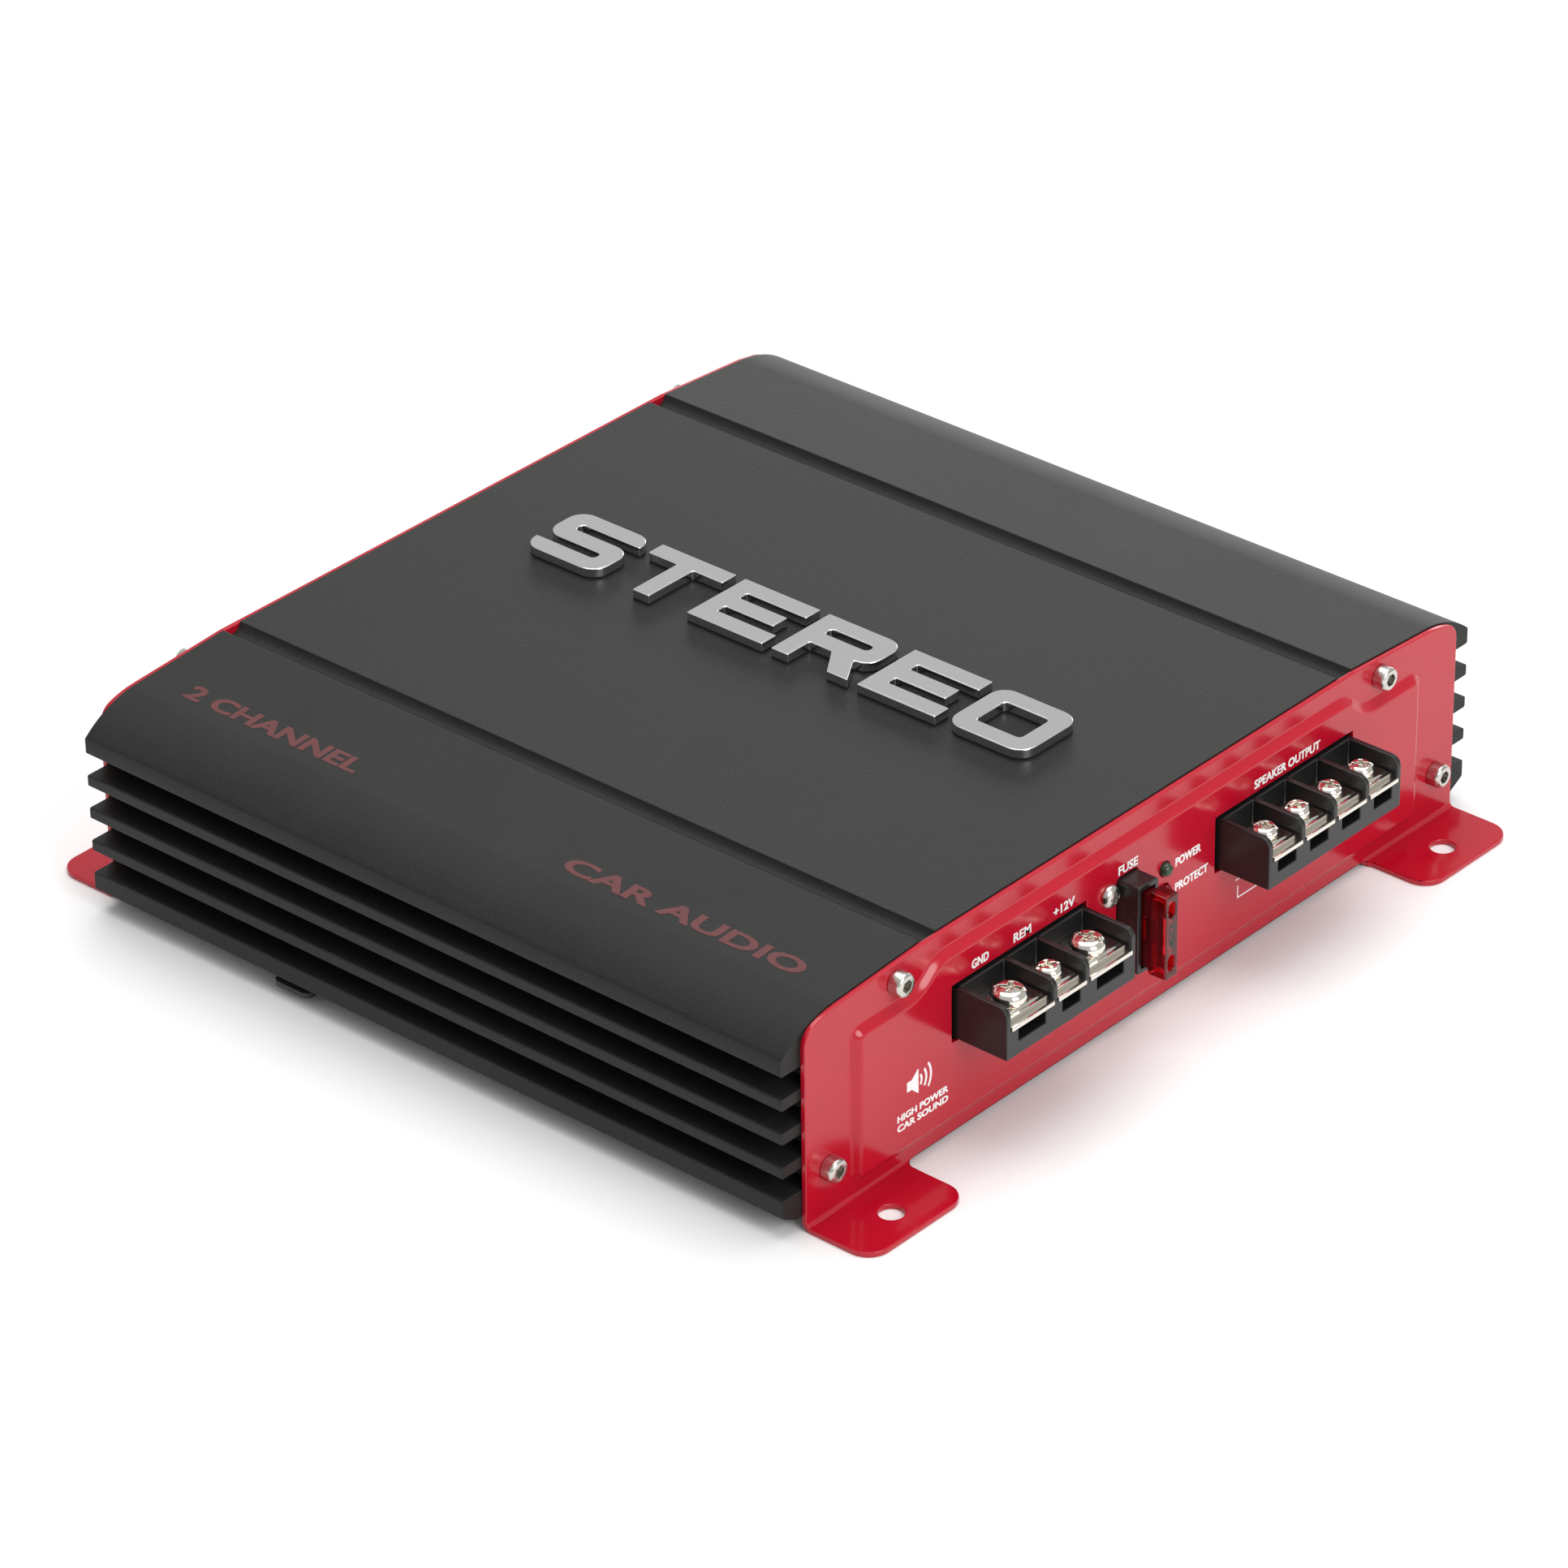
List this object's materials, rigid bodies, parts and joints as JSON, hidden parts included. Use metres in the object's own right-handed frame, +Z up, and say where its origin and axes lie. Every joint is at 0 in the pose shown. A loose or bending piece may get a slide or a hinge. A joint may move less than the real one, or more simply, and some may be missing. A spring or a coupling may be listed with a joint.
{
  "type": "car amplifier",
  "caption": "Black finned aluminium car amplifier with red folded end plates and feet, screw terminals and a blade fuse at one end, signal jacks and controls at the other.",
  "frame": {"origin": "centre of the outline on the plane under the four feet", "axes": "+X along the extrusion towards the screw terminals and the fuse, +Z up"},
  "size_m": [0.222, 0.216, 0.0511],
  "materials": {
    "powder_black": "fine textured black powder coat",
    "cover_black": "satin black paint",
    "black_screw": "black oxide",
    "plate_red": "gloss red powder coat",
    "nickel": "bright nickel plate",
    "terminal_nickel": "bright nickel plate",
    "block_black": "fine satin moulding",
    "holder_black": "smooth moulding",
    "fuse_red": "clear red moulding",
    "blade_zinc": "plain zinc",
    "lamp_green": "tinted clear resin",
    "lamp_red": "tinted clear resin",
    "board_green": "solder resist",
    "brass": "turned",
    "ferrite": "sintered",
    "iron_yellow": "dipped coating",
    "copper_wire": "enamelled wire",
    "sleeve_blue": "shrink sleeve",
    "case_black": "moulded",
    "pad_grey": "silicone pad",
    "bar_steel": "zinc plate",
    "gold_plate": "thin gold plate",
    "insert_white": "moulded",
    "knob_black": "moulded",
    "tape_black": "foam tape",
    "badge_chrome": "satin top and polished sides"
  },
  "bodies": {
    "housing": {"heatsink": "powder_black", "bottom_cover": "cover_black", "bottom_cover_screws": "black_screw", "terminal_end_plate": "plate_red", "input_end_plate": "plate_red", "terminal_plate_screws": "nickel", "input_plate_screws": "nickel", "power_terminal_block": "block_black", "power_contact_plates": "terminal_nickel", "speaker_terminal_block": "block_black", "speaker_contact_plates": "terminal_nickel", "fuse_holder": "holder_black", "fuse_holder_screw": "nickel", "power_led": "lamp_green", "protect_led": "lamp_red", "circuit_board": "board_green", "board_standoffs": "brass", "board_screws": "nickel", "transformer_core": "ferrite", "transformer_winding": "copper_wire", "choke_core": "iron_yellow", "choke_winding": "copper_wire", "supply_capacitors": "sleeve_blue", "rail_capacitors": "sleeve_blue", "power_transistors": "case_black", "insulator_pads": "pad_grey", "clamp_bars": "bar_steel", "clamp_bar_screws": "nickel", "signal_chips": "case_black", "phono_jack_block": "block_black", "phono_jack_shells": "gold_plate", "phono_jack_inserts": "insert_white", "phono_jack_screw": "nickel", "control_potentiometers": "case_black", "crossover_switch": "bar_steel", "badge_adhesive": "tape_black", "badge_letters": "badge_chrome"},
    "ground_terminal_clamp": {"ground_clamp": "terminal_nickel"},
    "ground_terminal_screw": {"ground_screw": "terminal_nickel"},
    "remote_terminal_clamp": {"remote_clamp": "terminal_nickel"},
    "remote_terminal_screw": {"remote_screw": "terminal_nickel"},
    "positive_terminal_clamp": {"positive_clamp": "terminal_nickel"},
    "positive_terminal_screw": {"positive_screw": "terminal_nickel"},
    "speaker_1_terminal_clamp": {"speaker_clamp_1": "terminal_nickel"},
    "speaker_1_terminal_screw": {"speaker_screw_1": "terminal_nickel"},
    "speaker_2_terminal_clamp": {"speaker_clamp_2": "terminal_nickel"},
    "speaker_2_terminal_screw": {"speaker_screw_2": "terminal_nickel"},
    "speaker_3_terminal_clamp": {"speaker_clamp_3": "terminal_nickel"},
    "speaker_3_terminal_screw": {"speaker_screw_3": "terminal_nickel"},
    "speaker_4_terminal_clamp": {"speaker_clamp_4": "terminal_nickel"},
    "speaker_4_terminal_screw": {"speaker_screw_4": "terminal_nickel"},
    "fuse": {"fuse_body": "fuse_red", "fuse_element": "blade_zinc"},
    "gain_control": {"gain_knob": "knob_black"},
    "bass_control": {"bass_knob": "knob_black"},
    "crossover_control": {"crossover_knob": "knob_black"},
    "crossover_selector": {"crossover_slider": "insert_white"}
  },
  "joints": [
    {"name": "ground_clamp_lift", "type": "slide", "parent": "housing", "child": "ground_terminal_clamp", "axis": [0, 0, 1], "range_m": [0, 0.0028]},
    {"name": "ground_screw_turn", "type": "hinge", "parent": "ground_terminal_clamp", "child": "ground_terminal_screw", "pos_m": [0.1034, -0.0526, 0.033], "axis": [0, 0, 1], "range_deg": [0, 1442]},
    {"name": "remote_clamp_lift", "type": "slide", "parent": "housing", "child": "remote_terminal_clamp", "axis": [0, 0, 1], "range_m": [0, 0.002]},
    {"name": "remote_screw_turn", "type": "hinge", "parent": "remote_terminal_clamp", "child": "remote_terminal_screw", "pos_m": [0.1034, -0.04065, 0.033], "axis": [0, 0, 1], "range_deg": [0, 1442]},
    {"name": "positive_clamp_lift", "type": "slide", "parent": "housing", "child": "positive_terminal_clamp", "axis": [0, 0, 1], "range_m": [0, 0.0028]},
    {"name": "positive_screw_turn", "type": "hinge", "parent": "positive_terminal_clamp", "child": "positive_terminal_screw", "pos_m": [0.1034, -0.0287, 0.033], "axis": [0, 0, 1], "range_deg": [0, 1442]},
    {"name": "speaker_1_clamp_lift", "type": "slide", "parent": "housing", "child": "speaker_1_terminal_clamp", "axis": [0, 0, 1], "range_m": [0, 0.002]},
    {"name": "speaker_1_screw_turn", "type": "hinge", "parent": "speaker_1_terminal_clamp", "child": "speaker_1_terminal_screw", "pos_m": [0.1034, 0.0273, 0.033], "axis": [0, 0, 1], "range_deg": [0, 1442]},
    {"name": "speaker_2_clamp_lift", "type": "slide", "parent": "housing", "child": "speaker_2_terminal_clamp", "axis": [0, 0, 1], "range_m": [0, 0.002]},
    {"name": "speaker_2_screw_turn", "type": "hinge", "parent": "speaker_2_terminal_clamp", "child": "speaker_2_terminal_screw", "pos_m": [0.1034, 0.0378, 0.033], "axis": [0, 0, 1], "range_deg": [0, 1442]},
    {"name": "speaker_3_clamp_lift", "type": "slide", "parent": "housing", "child": "speaker_3_terminal_clamp", "axis": [0, 0, 1], "range_m": [0, 0.002]},
    {"name": "speaker_3_screw_turn", "type": "hinge", "parent": "speaker_3_terminal_clamp", "child": "speaker_3_terminal_screw", "pos_m": [0.1034, 0.0483, 0.033], "axis": [0, 0, 1], "range_deg": [0, 1442]},
    {"name": "speaker_4_clamp_lift", "type": "slide", "parent": "housing", "child": "speaker_4_terminal_clamp", "axis": [0, 0, 1], "range_m": [0, 0.002]},
    {"name": "speaker_4_screw_turn", "type": "hinge", "parent": "speaker_4_terminal_clamp", "child": "speaker_4_terminal_screw", "pos_m": [0.1034, 0.0588, 0.033], "axis": [0, 0, 1], "range_deg": [0, 1442]},
    {"name": "fuse_pull", "type": "slide", "parent": "housing", "child": "fuse", "axis": [1, 0, 0], "range_m": [0, 0.02]},
    {"name": "gain_turn", "type": "hinge", "parent": "housing", "child": "gain_control", "pos_m": [-0.1012, -0.014, 0.026], "axis": [1, 0, 0], "range_deg": [-140, 140]},
    {"name": "bass_turn", "type": "hinge", "parent": "housing", "child": "bass_control", "pos_m": [-0.1012, 0.008, 0.026], "axis": [1, 0, 0], "range_deg": [-140, 140]},
    {"name": "crossover_turn", "type": "hinge", "parent": "housing", "child": "crossover_control", "pos_m": [-0.1012, 0.03, 0.026], "axis": [1, 0, 0], "range_deg": [-140, 140]},
    {"name": "crossover_select", "type": "slide", "parent": "housing", "child": "crossover_selector", "axis": [0, 1, 0], "range_m": [-0.002, 0.002]}
  ],
  "couplings": [
    {"joint": "ground_screw_turn", "follows": "ground_clamp_lift", "rad_per_m": 8976},
    {"joint": "remote_screw_turn", "follows": "remote_clamp_lift", "rad_per_m": 12566},
    {"joint": "positive_screw_turn", "follows": "positive_clamp_lift", "rad_per_m": 8976},
    {"joint": "speaker_1_screw_turn", "follows": "speaker_1_clamp_lift", "rad_per_m": 12566},
    {"joint": "speaker_2_screw_turn", "follows": "speaker_2_clamp_lift", "rad_per_m": 12566},
    {"joint": "speaker_3_screw_turn", "follows": "speaker_3_clamp_lift", "rad_per_m": 12566},
    {"joint": "speaker_4_screw_turn", "follows": "speaker_4_clamp_lift", "rad_per_m": 12566}
  ]
}
